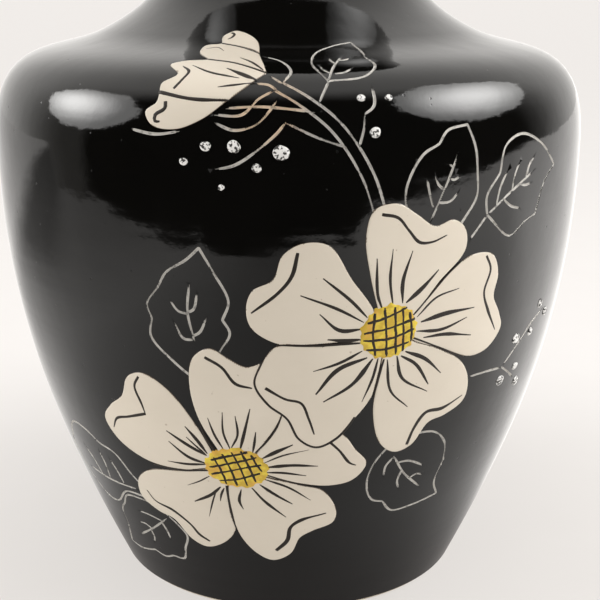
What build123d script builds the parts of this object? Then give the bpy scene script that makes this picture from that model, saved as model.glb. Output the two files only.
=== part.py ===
from build123d import *

import os
from bisect import bisect_left
from math import cos, hypot, sin, sqrt

# A black-glazed clay pot: a thrown clay body, a black coat inside and out, and flowers, a bud,
# leaves and berries worked into the outer coat. Millimetres. The pot stands on Z = 0, centred
# on the Z axis, and the flowers face -Y.

# ---- driving dimensions -------------------------------------------------------------------
belly_radius = 100.0        # widest radius of the pot
belly_height = 153.0        # height of the widest ring
foot_radius = 61.7          # outer edge of the black coat at its lowest ring
foot_wipe = 0.6             # the coat stops this far above the foot
shoulder_radius = 63.0      # ring where the shoulder turns up into the neck
shoulder_height = 188.5
lip_radius = 50.0           # outer edge of the flared rim
lip_height = 244.0

glaze = 0.8                 # thickness of the black coat
clay = 5.0                  # thickness of the clay wall
proud = 0.3                 # how far the cream petals stand above the black coat
bead = 0.7                  # how far the berries and flower centres stand above it
groove = 0.8                # width of a scratched line
floor_top = 8.0             # height of the clay floor inside the pot
floor_edge = 38.0           # radius at which the inner floor starts to curve up
recess_depth = 3.0          # hollow under the foot ring
recess_radius = 51.0

# Outer profile, foot to lip: three cubic curves of (radius, height) control points.
profile = [
    [(foot_radius, foot_wipe), (86, 54), (belly_radius, 94), (belly_radius, belly_height)],
    [(belly_radius, belly_height), (belly_radius, 188), (79, 180.5), (shoulder_radius, shoulder_height)],
    [(shoulder_radius, shoulder_height), (37, 201.5), (34, 216), (lip_radius, lip_height)],
]


# ---- the wall, as a formula ---------------------------------------------------------------
def on_curve(curve, t):
    """Point and unit direction at t = 0..1 on one cubic curve of the profile."""
    s = 1 - t
    point, slope = [], []
    for p0, p1, p2, p3 in zip(*curve):
        point.append(s**3 * p0 + 3 * s * s * t * p1 + 3 * s * t * t * p2 + t**3 * p3)
        slope.append(s * s * (p1 - p0) + 2 * s * t * (p2 - p1) + t * t * (p3 - p2))
    size = hypot(*slope)
    return point, (slope[0] / size, slope[1] / size)


def wall_point(u, depth):
    """Point under the outer surface: u = 0..3 counts curves from the foot, depth is in mm."""
    index = min(int(u), 2)
    (r, z), (dr, dz) = on_curve(profile[index], u - index)
    return (r - depth * dz, z + depth * dr)


def wall_line(depth, start=0.0, end=3.0, steps=22):
    """Spline up the wall at one depth under the outer surface."""
    return Spline([wall_point(start + (end - start) * i / steps, depth) for i in range(steps + 1)])


# Distance along the outer profile from the ground, for placing the decoration.
ring_count = 600
rings = [wall_point(3 * i / ring_count, 0) for i in range(ring_count + 1)]
ups = [foot_wipe]
for lower, upper in zip(rings, rings[1:]):
    ups.append(ups[-1] + hypot(upper[0] - lower[0], upper[1] - lower[1]))


def on_wall(across, up):
    """Point of the outer surface: `across` mm round the belly from the front, `up` mm up the wall."""
    i = min(max(bisect_left(ups, up), 1), ring_count)
    share = (up - ups[i - 1]) / (ups[i] - ups[i - 1])
    r, z = wall_point(3 * (i - 1 + share) / ring_count, 0)
    turn = across / belly_radius
    return Vector(r * sin(turn), -r * cos(turn), z)


def facing(across, up):
    """Plane that touches the wall at one place and faces outward."""
    here = on_wall(across, up)
    climb = on_wall(across, up + 1) - on_wall(across, up - 1)
    turn = across / belly_radius
    sideways = Vector(cos(turn), sin(turn), 0)
    return Plane(origin=here, x_dir=sideways, z_dir=sideways.cross(climb))


def flat(plane, points):
    """Wall points as points of a drawing plane."""
    drawn = []
    for across, up in points:
        local = plane.to_local_coords(on_wall(across, up))
        drawn.append((local.X, local.Y))
    return drawn


# ---- helpers for the decoration -----------------------------------------------------------
reach = 34.0                # how far a drawing plane's shapes are pushed in and out


def coat_shell(top):
    """Ring of coat from `top` mm proud of the wall down to the clay."""
    with BuildPart() as ring:
        with BuildSketch(Plane.XZ):
            with BuildLine():
                wall_line(-top)
                wall_line(glaze)
                Line(wall_point(0, -top), wall_point(0, glaze))
                Line(wall_point(3, -top), wall_point(3, glaze))
            make_face()
        revolve(axis=Axis.Z)
    return ring.part


def cutter(centre, *runs):
    """Prism through the wall whose outline is one smooth run, or several that meet at corners."""
    plane = facing(*centre)
    with BuildPart() as prism:
        with BuildSketch(plane):
            with BuildLine():
                for run in runs:
                    Spline(flat(plane, run))
                if runs[0][0] != runs[-1][-1]:
                    Line(*flat(plane, [runs[-1][-1], runs[0][0]]))
            make_face()
        extrude(amount=reach, both=True)
    return prism.part


def drawn_in(centre, runs, amount):
    """The same outline with every point moved `amount` mm towards the centre."""
    moved = []
    for run in runs:
        closer = []
        for across, up in run:
            away = (across - centre[0], up - centre[1])
            keep = 1 - amount / hypot(*away)
            closer.append((centre[0] + keep * away[0], centre[1] + keep * away[1]))
        moved.append(closer)
    return moved


def dot_cutter(across, up, radius):
    """Round prism through the wall."""
    with BuildPart() as prism:
        with BuildSketch(facing(across, up)):
            Circle(radius)
        extrude(amount=reach / 4, both=True)
    return prism.part


def cut_patch(shell, prism, *covers):
    """The part of a coat shell inside a prism and outside every prism laid over it."""
    with BuildPart() as piece:
        add(shell)
        add(prism, mode=Mode.INTERSECT)
        for cover in covers:
            add(cover, mode=Mode.SUBTRACT)
    return piece.part.solids().sort_by(SortBy.VOLUME)[-1]


def finish_part(name, *solids):
    """Label one node and write it."""
    with BuildPart() as node:
        for solid in solids:
            add(solid)
    node.part.label = name
    export_step(node.part, f"parts/{name}.step")


os.makedirs("parts", exist_ok=True)

# ---- thrown pot ---------------------------------------------------------------------------
inner_start = 0.13          # where on the lowest curve the inner wall leaves the floor
lip_dr, lip_dz = on_curve(profile[2], 1.0)[1]
lip_middle = wall_point(3.0, glaze + clay / 2)


def lip_point(radius, side):
    """Point of the rounded lip: side 1 is outside, 0 the crest, -1 inside."""
    crest = 1 - abs(side)
    return (
        lip_middle[0] + radius * (side * lip_dz + crest * lip_dr),
        lip_middle[1] + radius * (crest * lip_dz - side * lip_dr),
    )


def lip_arc(radius, side):
    """Quarter circle of the lip from one side of the wall to its crest."""
    half = sqrt(0.5)
    edge, crest = lip_point(radius, side), lip_point(radius, 0)
    middle = tuple(lip_middle[k] + half * (edge[k] + crest[k] - 2 * lip_middle[k]) for k in (0, 1))
    return ThreePointArc(edge, middle, crest)


def cavity_line(depth):
    """Inner surface at one depth: flat floor, rounded corner and wall."""
    level = floor_top + depth - glaze - clay
    dr, dz = on_curve(profile[0], inner_start)[1]
    wall_start = wall_point(inner_start, depth)
    corner = (wall_start[0] - dr / dz * (wall_start[1] - level), level)
    Line((0, level), (floor_edge, level))
    Bezier((floor_edge, level), corner, wall_start)
    wall_line(depth, inner_start)


clay_outside = wall_point(0, glaze)
with BuildPart() as clay_body:
    with BuildSketch(Plane.XZ):
        with BuildLine():
            Polyline(
                (0, floor_top),
                (0, recess_depth),
                (recess_radius - recess_depth, recess_depth),
                (recess_radius, 0),
                (clay_outside[0] - foot_wipe / 2, 0),
                clay_outside,
            )
            wall_line(glaze)
            lip_arc(clay / 2, 1)
            lip_arc(clay / 2, -1)
            cavity_line(glaze + clay)
        make_face()
    revolve(axis=Axis.Z)
clay_body.part.label = "clay_body"
export_step(clay_body.part, "parts/clay_body.step")

with BuildPart() as inner_glaze:
    with BuildSketch(Plane.XZ):
        with BuildLine():
            cavity_line(glaze + clay)
            cavity_line(2 * glaze + clay)
            Line((0, floor_top), (0, floor_top + glaze))
            lip_arc(clay / 2, -1)
            lip_arc(clay / 2 + glaze, -1)
            Line(lip_point(clay / 2, 0), lip_point(clay / 2 + glaze, 0))
        make_face()
    revolve(axis=Axis.Z)
inner_glaze.part.label = "inner_glaze"
export_step(inner_glaze.part, "parts/inner_glaze.step")

# ---- decoration outlines, (across, up) on the wall ----------------------------------------
upper_centre = (30.3, 113.8)
lower_centre = (-18.5, 66.6)
bud_centre = (-25, 196)

upper_petals = [
    # lower left
    [(28.5, 105), (27.8, 98), (26.5, 92), (20, 83), (16, 78.3), (9.5, 75.3), (3.5, 78.5), (-0.5, 86),
     (-6.5, 91), (-10.5, 98), (-7.5, 106), (-3.5, 110.5), (10, 110.4), (21.5, 110.8)],
    # left
    [(21.5, 111.2), (8, 111), (-3, 111.1), (-11, 116), (-12.4, 122), (-10.5, 127.5), (-4.5, 131),
     (-1.8, 138), (4, 141.6), (11.5, 140.8), (18, 131), (24, 121)],
    # top
    [(25.5, 121), (23.5, 131), (21.7, 143), (24, 150.5), (31, 152), (37, 148.5), (43, 144.7),
     (49, 146), (53.5, 143), (54.2, 136.5), (46, 128), (38, 118.7)],
    # right
    [(38.6, 118.2), (48, 129.5), (57, 134.6), (65.5, 133.5), (68.8, 127), (68.2, 120), (72, 114),
     (74.3, 108.5), (69.5, 102.4), (61.5, 101.1), (50, 105.6), (38.9, 111)],
    # lower right
    [(38.8, 110.6), (50, 105.2), (58.5, 100), (63.4, 92.5), (63.4, 85.5), (56, 81.3), (49.5, 79.7),
     (44.5, 72.3), (38, 70.4), (31.5, 75), (27.6, 87), (28.3, 99), (29.5, 105)],
]
lower_petals = [
    # top, running under the upper flower
    [(-25.5, 73), (-30, 84), (-31.8, 96), (-29.8, 105.3), (-24, 109), (-18.5, 106.2), (-13, 103.6),
     (-6, 105), (-1, 98), (-2, 87.8), (-8, 77), (-12, 72.5)],
    # right, running under the upper flower
    [(-11.7, 72.3), (-4.3, 82.5), (-1.6, 89.5), (4, 90), (12, 84), (19.5, 78.5), (23, 73.8),
     (28, 67.5), (24, 61.5), (16, 59.6), (4, 61), (-8.5, 65)],
    # lower right
    [(-8.5, 64.7), (4, 60.6), (12.5, 58), (18.7, 49), (18.2, 43.7), (10, 40), (5, 37), (1, 29.3),
     (-7, 26), (-14.5, 29.5), (-20.3, 37), (-22.4, 47), (-22.5, 59)],
    # lower left
    [(-23, 59), (-22.9, 47), (-21.8, 40), (-27, 33.3), (-37, 29.3), (-44, 32), (-50, 39.6), (-57, 41.5),
     (-64.3, 46.5), (-63, 54), (-55, 60), (-40, 62.8), (-28.8, 64.5)],
    # upper left
    [(-28.5, 71.5), (-31, 81.5), (-39, 92.8), (-48, 97.8), (-54.8, 95.5), (-59, 88), (-66, 82.8),
     (-70.7, 77), (-67, 69.8), (-55, 64), (-40, 63.2), (-28.8, 65)],
]
bud_petals = [
    # top
    [[(-30, 213.8), (-31.7, 218), (-27, 221.4), (-18, 219), (-13.5, 215), (-11, 205.5)],
     [(-11, 205.5), (-14.5, 209), (-22, 212), (-30, 213.8)]],
    # second
    [[(-30, 213.6), (-36.7, 211.8), (-35.7, 206), (-29, 199.8)],
     [(-29, 199.8), (-19, 197.5), (-6.8, 191.4)],
     [(-6.8, 191.4), (-8.5, 197.5), (-11, 205.2)],
     [(-11, 205.2), (-14.5, 208.7), (-22, 211.7), (-30, 213.6)]],
    # third
    [[(-29, 199.5), (-37, 198), (-40.8, 195), (-35.6, 189.7), (-39.2, 186), (-39, 183)],
     [(-39, 183), (-28, 181.2), (-17, 181)],
     [(-17, 181), (-12, 185.6), (-6.8, 191)],
     [(-6.8, 191), (-19, 197.2), (-29, 199.5)]],
    # lowest
    [[(-38.8, 182.6), (-39, 179.8), (-42, 177), (-39.5, 173.2), (-32, 172.3), (-24, 175.5), (-17.5, 180.7)],
     [(-17.5, 180.7), (-28, 180.9), (-38.8, 182.6)]],
]

# Leaves: where the drawing plane touches, and the outline in runs that meet at corners. Where a
# leaf runs under a petal, so does its outline.
leaves = {
    "leaf_by_neck": (
        (19, 200),
        [[(12, 187.6), (8, 196.5), (11, 207), (19, 212.3), (28.2, 214.8)],
         [(28.2, 214.8), (29.6, 208), (28.6, 201.5)],
         [(28.6, 201.5), (29.4, 195.5), (24, 189.5), (12, 187.6)]],
    ),
    "leaf_over_flower": (
        (46, 157),
        [[(45, 136), (36, 144), (33.2, 155), (38, 164.8), (43.5, 167.8)],
         [(43.5, 167.8), (46.5, 171.3), (53.5, 172.6)],
         [(53.5, 172.6), (56, 166), (56.8, 159.5)],
         [(56.8, 159.5), (57, 152), (52.8, 145.7), (45, 136)]],
    ),
    "leaf_right": (
        (77, 152),
        [[(61.5, 145.8), (61, 151.5), (65.8, 157.7)],
         [(65.8, 157.7), (68, 165.3), (75.5, 168.2), (86, 164.3), (94.5, 157)],
         [(94.5, 157), (88.5, 152.3), (84.5, 143)],
         [(84.5, 143), (79, 141.5)],
         [(79, 141.5), (72, 138.2), (61.5, 145.8)]],
    ),
    "leaf_left": (
        (-30, 121),
        [[(-25.5, 139.5), (-29.5, 135.8), (-36, 131.5), (-39, 126.8)],
         [(-39, 126.8), (-43.2, 121), (-42, 116.8)],
         [(-42, 116.8), (-43, 111), (-38, 105), (-27, 98), (-20.5, 108.5)],
         [(-20.5, 108.5), (-17.4, 114), (-19.4, 118.2)],
         [(-19.4, 118.2), (-17.4, 124), (-21.5, 132.5), (-25.5, 139.5)]],
    ),
    "leaf_under_flower": (
        (45, 60),
        [[(38, 76), (31, 67), (29.4, 58.5), (32.5, 51.8), (37.5, 50)],
         [(37.5, 50), (42.5, 45.3), (52, 45.5), (64.5, 47.5)],
         [(64.5, 47.5), (60.7, 53.5), (61.9, 62.5)],
         [(61.9, 62.5), (60, 69.5), (53, 75.5), (38, 76)]],
    ),
    "leaf_far_left": (
        (-85, 53),
        [[(-60, 50), (-65.5, 54.5), (-72, 62), (-80.5, 64)],
         [(-80.5, 64), (-89, 67.5), (-99, 67), (-112, 54)],
         [(-112, 54), (-103, 43), (-92, 37.5), (-84, 38.5), (-74, 45.5), (-60, 46.2)]],
    ),
    "leaf_low_left": (
        (-68, 30),
        [[(-50, 38), (-58, 43.5), (-66, 44.5), (-75, 43.5), (-79.8, 38.6)],
         [(-79.8, 38.6), (-84.5, 34.5), (-87, 26), (-93, 16.5)],
         [(-93, 16.5), (-85, 16), (-76, 17.8), (-71.5, 19.1)],
         [(-71.5, 19.1), (-65, 17.8), (-59, 19.7)],
         [(-59, 19.7), (-52, 20.3), (-49.2, 26), (-46, 32.5), (-50, 38)]],
    ),
}

stem_width = 4.2            # window cut for the stem, its two scratched lines included
stem_path = [(26.8, 146), (22, 160), (13.5, 173.2), (4.3, 181), (-2.8, 185.6)]


def stem_strip(half):
    """Outline of the stem: its path moved sideways both ways, closed at the ends."""
    sides = [[], []]
    for i, (across, up) in enumerate(stem_path):
        before, after = stem_path[max(i - 1, 0)], stem_path[min(i + 1, len(stem_path) - 1)]
        along = hypot(after[0] - before[0], after[1] - before[1])
        normal = ((before[1] - after[1]) / along, (after[0] - before[0]) / along)
        for side, sign in zip(sides, (1, -1)):
            side.append((across + sign * half * normal[0], up + sign * half * normal[1]))
    left, right = sides
    return [left, [left[-1], right[-1]], right[::-1]]


berries = {
    "berries_left": [(-2, 166.7, 2.4), (-15, 168.2, 2.0), (-23, 168.1, 1.6), (-29.3, 163.7, 1.3),
                     (-8.7, 162.5, 1.4), (-18.5, 157, 1.0)],
    "berries_right": [(21, 181.6, 1.3), (29.3, 181.5, 1.2), (24.2, 171.8, 1.7)],
    "berries_side": [(85.5, 101.8, 2.2), (81.8, 87.8, 2.1), (90, 91, 1.6), (94.5, 84.2, 1.9),
                     (95.2, 102, 1.6), (98.8, 111, 1.6), (106, 106.5, 1.8)],
}

# ---- prisms -------------------------------------------------------------------------------
upper_prisms = [cutter(upper_centre, petal) for petal in upper_petals]
lower_prisms = [cutter(lower_centre, petal) for petal in lower_petals]
bud_prisms = [cutter(bud_centre, *runs) for runs in bud_petals]


def disc_cutter(centre, width, height):
    """Oval prism for the yellow middle of a flower."""
    with BuildPart() as prism:
        with BuildSketch(facing(*centre)):
            Ellipse(width, height)
        extrude(amount=reach / 2, both=True)
    return prism.part


upper_disc = disc_cutter(upper_centre, 8.9, 8.7)
lower_disc = disc_cutter(lower_centre, 10.3, 7.9)

petal_coat = coat_shell(proud)
bead_coat = coat_shell(bead)
black_coat = coat_shell(0)
covers = upper_prisms + lower_prisms

# ---- flowers and bud ----------------------------------------------------------------------
for number, prism in enumerate(upper_prisms):
    over = [upper_disc] + upper_prisms[:number]
    finish_part(f"upper_petal_{number + 1}", cut_patch(petal_coat, prism, *over))
for number, prism in enumerate(lower_prisms):
    over = [lower_disc] + upper_prisms + lower_prisms[:number]
    finish_part(f"lower_petal_{number + 1}", cut_patch(petal_coat, prism, *over))
for number, prism in enumerate(bud_prisms):
    finish_part(f"bud_petal_{number + 1}", cut_patch(petal_coat, prism, *bud_prisms[:number]))
finish_part("upper_flower_centre", cut_patch(bead_coat, upper_disc))
finish_part("lower_flower_centre", cut_patch(bead_coat, lower_disc))

# ---- berries ------------------------------------------------------------------------------
berry_prisms = []
for name, dots in berries.items():
    prisms = [dot_cutter(*dot) for dot in dots]
    berry_prisms += prisms
    finish_part(name, *[cut_patch(bead_coat, prism) for prism in prisms])

# ---- leaves and stem: islands of black coat, a scratched line's width inside their windows ---
island_prisms = []
for name, (centre, outline) in leaves.items():
    island = cutter(centre, *drawn_in(centre, outline, groove))
    finish_part(name, cut_patch(black_coat, island, *covers, *island_prisms))
    island_prisms.append(cutter(centre, *outline))
stem_middle = (10, 174)
stem_island = cutter(stem_middle, *stem_strip(stem_width / 2 - groove))
finish_part("stem", cut_patch(black_coat, stem_island, *covers))
island_prisms.append(cutter(stem_middle, *stem_strip(stem_width / 2)))

# ---- outer black coat ---------------------------------------------------------------------
windows = covers + bud_prisms + [upper_disc, lower_disc] + berry_prisms + island_prisms
with BuildPart() as outer_glaze:
    with BuildSketch(Plane.XZ):
        with BuildLine():
            wall_line(0)
            wall_line(glaze)
            Line(wall_point(0, 0), wall_point(0, glaze))
            lip_arc(clay / 2, 1)
            lip_arc(clay / 2 + glaze, 1)
            Line(lip_point(clay / 2, 0), lip_point(clay / 2 + glaze, 0))
        make_face()
    revolve(axis=Axis.Z)
    add(windows, mode=Mode.SUBTRACT)
finish_part("outer_glaze", outer_glaze.part.solids().sort_by(SortBy.VOLUME)[-1])
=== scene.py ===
import math
import random

import bpy
import numpy as np
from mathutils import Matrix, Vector
from mathutils.geometry import delaunay_2d_cdt
from mathutils.kdtree import KDTree


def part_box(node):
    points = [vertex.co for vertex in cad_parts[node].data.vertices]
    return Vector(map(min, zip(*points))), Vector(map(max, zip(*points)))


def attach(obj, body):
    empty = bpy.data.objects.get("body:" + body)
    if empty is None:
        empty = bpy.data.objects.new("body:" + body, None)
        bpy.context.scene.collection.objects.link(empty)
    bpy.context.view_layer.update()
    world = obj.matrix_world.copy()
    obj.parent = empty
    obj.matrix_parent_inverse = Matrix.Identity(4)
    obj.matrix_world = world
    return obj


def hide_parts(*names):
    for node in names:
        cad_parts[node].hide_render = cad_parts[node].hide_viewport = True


# A black-glazed clay pot with flowers, leaves and berries worked into its glaze. The frame is in
# metres; the drawing on the wall is in millimetres: across, round the belly from the front, and
# up, along the wall from the ground.

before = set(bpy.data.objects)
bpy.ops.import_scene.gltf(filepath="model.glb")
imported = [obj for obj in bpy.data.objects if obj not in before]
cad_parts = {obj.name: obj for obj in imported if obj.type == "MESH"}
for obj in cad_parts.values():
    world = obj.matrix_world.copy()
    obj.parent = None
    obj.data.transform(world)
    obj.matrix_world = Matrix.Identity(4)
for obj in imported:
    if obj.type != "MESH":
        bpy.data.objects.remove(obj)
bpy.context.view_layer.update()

mm = 0.001
chance = random.Random(7)

# ---- sizes --------------------------------------------------------------------------------
belly_radius = 100.0
belly_height = 153.0
foot_radius = 61.7
foot_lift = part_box("outer_glaze")[0].z / mm
shoulder_radius, shoulder_height = 63.0, 188.5
lip_radius, lip_height = 50.0, 244.0
coat = 0.8                  # thickness of the black coat
clay_wall = 5.0
petal_rise = 0.26           # how far a petal stands above the black coat
petal_edge = 0.7            # width over which its edge rolls down
scratch_depth = 0.34
slip_foot = -0.6            # how deep a patch or dot of slip reaches into the coat
stroke_foot = -0.3          # how deep a brush stroke reaches into the slip
hidden_margin = 2.2         # the coat is left out this far in from the edge of what covers it

wall_curves = [
    [(foot_radius, foot_lift), (86, 54), (belly_radius, 94), (belly_radius, belly_height)],
    [(belly_radius, belly_height), (belly_radius, 188), (79, 180.5), (shoulder_radius, shoulder_height)],
    [(shoulder_radius, shoulder_height), (37, 201.5), (34, 216), (lip_radius, lip_height)],
]


# ---- the wall as a formula ----------------------------------------------------------------
def wall_table(steps=700):
    """Radius, height and direction of the wall at even steps of each curve, and the way up it."""
    rows = []
    for curve in wall_curves:
        p = np.array(curve, float)
        for t in np.arange(steps) / steps:
            s = 1 - t
            point = s**3 * p[0] + 3 * s * s * t * p[1] + 3 * s * t * t * p[2] + t**3 * p[3]
            slope = s * s * (p[1] - p[0]) + 2 * s * t * (p[2] - p[1]) + t * t * (p[3] - p[2])
            rows.append((*point, *(slope / np.hypot(*slope))))
    last = np.array(wall_curves[-1], float)
    slope = last[3] - last[2]
    rows.append((*last[3], *(slope / np.hypot(*slope))))
    rows = np.array(rows)
    up = foot_lift + np.concatenate([[0], np.cumsum(np.hypot(*np.diff(rows[:, :2], axis=0).T))])
    return up, rows


wall_up, wall_rows = wall_table()
wall_top = wall_up[-1]


def wall_at(up):
    """Radius, height and climbing direction of the wall at a distance up it, in mm."""
    return [np.interp(up, wall_up, wall_rows[:, k]) for k in range(4)]


def on_wall(points, lift=0.0):
    """Drawing points (n, 2) in mm as places in metres, `lift` mm proud of the wall."""
    points = np.asarray(points, float)
    radius, height, dr, dz = wall_at(points[:, 1])
    radius = radius + lift * dz
    height = height - lift * dr
    turn = points[:, 0] / belly_radius
    return np.stack([radius * np.sin(turn), -radius * np.cos(turn), height], 1) * mm


def squeeze(up):
    """How much shorter a step across is up here than at the belly."""
    return wall_at(up)[0] / belly_radius


# ---- drawing helpers ----------------------------------------------------------------------
def smooth(points, step=0.7):
    """Points about `step` mm apart on a smooth line through a few design points."""
    p = np.array(points, float)
    if len(p) == 2:
        count = max(2, int(np.hypot(*(p[1] - p[0])) / step))
        return p[0] + (p[1] - p[0]) * np.linspace(0, 1, count + 1)[:, None]
    ends = np.vstack([2 * p[0] - p[1], p, 2 * p[-1] - p[-2]])
    line = []
    for a, b, c, d in zip(ends, ends[1:], ends[2:], ends[3:]):
        # centripetal Catmull-Rom between b and c
        t1 = np.hypot(*(b - a)) ** 0.5
        t2 = t1 + np.hypot(*(c - b)) ** 0.5
        t3 = t2 + np.hypot(*(d - c)) ** 0.5
        count = max(1, int(round(np.hypot(*(c - b)) / step)))
        for t in t1 + (t2 - t1) * np.arange(count) / count:
            ab = (a * (t1 - t) + b * t) / t1
            bc = (b * (t2 - t) + c * (t - t1)) / (t2 - t1)
            cd = (c * (t3 - t) + d * (t - t2)) / (t3 - t2)
            abc = (ab * (t2 - t) + bc * t) / t2
            bcd = (bc * (t3 - t) + cd * (t - t1)) / (t3 - t1)
            line.append((abc * (t2 - t) + bcd * (t - t1)) / (t2 - t1))
    line.append(p[-1])
    return np.array(line)


def closed(runs, step=0.7):
    """Closed outline from smooth runs that meet at corners."""
    parts = [smooth(run, step) for run in runs]
    outline = np.vstack([part[:-1] for part in parts])
    gap = parts[0][0] - parts[-1][-1]
    if np.hypot(*gap) > 0.01:
        outline = np.vstack([outline, smooth([parts[-1][-1], parts[0][0]], step)[:-1]])
    return outline


def inside(points, outline):
    """Which points lie inside a closed outline."""
    hit = np.zeros(len(points), bool)
    low, high = outline.min(0), outline.max(0)
    near = np.nonzero(((points >= low) & (points <= high)).all(1))[0]
    x, y = points[near, 0], points[near, 1]
    odd = np.zeros(len(near), bool)
    for (x0, y0), (x1, y1) in zip(outline, np.roll(outline, -1, 0)):
        if y0 != y1:
            odd ^= ((y0 > y) != (y1 > y)) & (x < (x1 - x0) * (y - y0) / (y1 - y0) + x0)
    hit[near] = odd
    return hit


def finder(points):
    """Search tree over drawing points, in metres on the wall."""
    places = on_wall(points)
    tree = KDTree(len(places))
    for i, place in enumerate(places):
        tree.insert(place, i)
    tree.balance()
    return tree


def distance(points, tree):
    """Distance in mm from each drawing point to the nearest point in a tree, and which it is."""
    found = [tree.find(place) for place in on_wall(points)]
    return np.array([f[2] for f in found]) / mm, np.array([f[1] for f in found])


def side_step(line, amount):
    """A line moved sideways by `amount` mm (a number or one for each point)."""
    ahead = np.gradient(line, axis=0)
    narrow = squeeze(line[:, 1])
    ahead[:, 0] *= narrow
    ahead /= np.maximum(np.hypot(ahead[:, 0], ahead[:, 1]), 1e-9)[:, None]
    amount = np.broadcast_to(amount, len(line))
    return line + np.stack([-ahead[:, 1] * amount / narrow, ahead[:, 0] * amount], 1)


def triangles(points, edges):
    """Triangles over points that keep the given edges. Returns the points and the triangles."""
    made = delaunay_2d_cdt([Vector(p) for p in points], edges, [], 0, 1e-5)
    return np.array([tuple(p) for p in made[0]]), np.array([tuple(f) for f in made[2]], int)


def lattice(low, high, spacing):
    """Evenly spread points in a box, every second row moved half a step."""
    rows = []
    for i, up in enumerate(np.arange(low[1], high[1], spacing * 0.866)):
        start = low[0] + (spacing / 2 if i % 2 else 0)
        across = np.arange(start, high[0], spacing)
        rows.append(np.stack([across, np.full(len(across), up)], 1))
    return np.vstack(rows)


def new_piece(name, places, faces, materials, slots=None):
    """Mesh object with smooth faces, riding on the pot."""
    mesh = bpy.data.meshes.new(name)
    mesh.from_pydata([tuple(p) for p in places], [], [tuple(int(i) for i in f) for f in faces])
    for material in materials:
        mesh.materials.append(material)
    mesh.polygons.foreach_set("use_smooth", [True] * len(mesh.polygons))
    if slots is not None:
        mesh.polygons.foreach_set("material_index", [int(s) for s in slots])
    mesh.update()
    piece = bpy.data.objects.new(name, mesh)
    bpy.context.scene.collection.objects.link(piece)
    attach(piece, "root")
    return piece


def rim_edges(faces):
    """Directed edges that only one face has, in that face's own direction."""
    seen = {}
    for face in faces:
        for a, b in zip(face, np.roll(face, -1)):
            a, b = int(a), int(b)
            if (b, a) in seen:
                del seen[(b, a)]
            else:
                seen[(a, b)] = True
    return list(seen)


def thick(points, faces, top, bottom):
    """Closed sheet on the wall: faces at height `top`, again at `bottom`, and the edges between.

    Also returns how many faces the underside and the edges have."""
    count = len(points)
    places = np.vstack([on_wall(points, top), on_wall(points, bottom)])
    under = [tuple(int(i) + count for i in face[::-1]) for face in faces]
    sides = [(b, a, a + count, b + count) for a, b in rim_edges(faces)]
    tops = [tuple(int(i) for i in face) for face in faces]
    return places, tops + under + sides, len(under) + len(sides)


def facing_out(points, faces):
    """Faces turned so that they look away from the wall."""
    a, b, c = points[faces[:, 0]], points[faces[:, 1]], points[faces[:, 2]]
    area = (b[:, 0] - a[:, 0]) * (c[:, 1] - a[:, 1]) - (b[:, 1] - a[:, 1]) * (c[:, 0] - a[:, 0])
    good = np.abs(area) > 1e-9
    faces = np.where((area < 0)[:, None], faces[:, ::-1], faces)
    return faces[good]


def used_only(faces):
    """Which points the faces use, and the faces renumbered for those alone."""
    used = np.unique(faces)
    new_index = np.full(used[-1] + 1, -1)
    new_index[used] = np.arange(len(used))
    return used, new_index[faces]


# ---- shader helpers -----------------------------------------------------------------------
class Value:
    """A shader socket that works in Python sums; each sum adds a Math node."""

    def __init__(self, finish, socket):
        self.finish, self.socket = finish, socket

    def math(self, operation, *others):
        sockets = {i: other for i, other in enumerate((self, *others))}
        return self.finish.add("ShaderNodeMath", {"operation": operation}, sockets)

    def __add__(self, other):
        return self.math("ADD", other)

    __radd__ = __add__

    def __mul__(self, other):
        return self.math("MULTIPLY", other)

    __rmul__ = __mul__

    def __sub__(self, other):
        return self.math("SUBTRACT", other)

    def __rsub__(self, other):
        return self.finish.add("ShaderNodeMath", {"operation": "SUBTRACT"}, {0: other, 1: self})

    def __pow__(self, other):
        return self.math("POWER", other)

    def above(self, edge, softness):
        """0 below the edge, 1 above it, with a soft step between."""
        settings = {"interpolation_type": "SMOOTHSTEP"}
        sockets = {"Value": self, "From Min": edge - softness, "From Max": edge + softness}
        return self.finish.add("ShaderNodeMapRange", settings, sockets)


class Finish:
    """A node tree being filled: a material's, or the room's."""

    def __init__(self, tree):
        self.tree = tree
        tree.nodes.clear()

    def add(self, kind, settings=None, sockets=None, out=0):
        node = self.tree.nodes.new(kind)
        for key, setting in (settings or {}).items():
            if key == "stops":
                ramp = node.color_ramp
                while len(ramp.elements) < len(setting):
                    ramp.elements.new(0.5)
                for element, (place, colour) in zip(ramp.elements, setting):
                    element.position, element.color = place, (*colour, 1)
            else:
                setattr(node, key, setting)
        for key, given in (sockets or {}).items():
            self.connect(node.inputs[key], given)
        return Value(self, node.outputs[out])

    def connect(self, socket, given):
        if isinstance(given, Value):
            self.tree.links.new(given.socket, socket)
        elif isinstance(given, tuple) and socket.type == "RGBA":
            socket.default_value = (*given, 1)
        else:
            socket.default_value = given

    def mix(self, share, first, second):
        """Colour between two, by a share."""
        settings = {"data_type": "RGBA"}
        return self.add("ShaderNodeMix", settings, {"Factor": share, 6: first, 7: second}, out=2)

    def noise(self, scale, detail=3.0, rough=0.5, stretch=(1, 1, 1)):
        """Noise in the pot's own metres; scale is in lumps per metre."""
        place = self.add("ShaderNodeTexCoord", None, None, out=3)
        if stretch != (1, 1, 1):
            place = self.add("ShaderNodeMapping", None, {"Vector": place, "Scale": stretch})
        sockets = {"Vector": place, "Scale": scale, "Detail": detail, "Roughness": rough}
        return self.add("ShaderNodeTexNoise", None, sockets)

    def bump(self, height, depth, after=None):
        """Surface unevenness: height 0..1 over `depth` metres, on top of another bump."""
        sockets = {"Height": height, "Distance": depth, "Strength": 1.0}
        if after:
            sockets["Normal"] = after
        return self.add("ShaderNodeBump", None, sockets)


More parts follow.
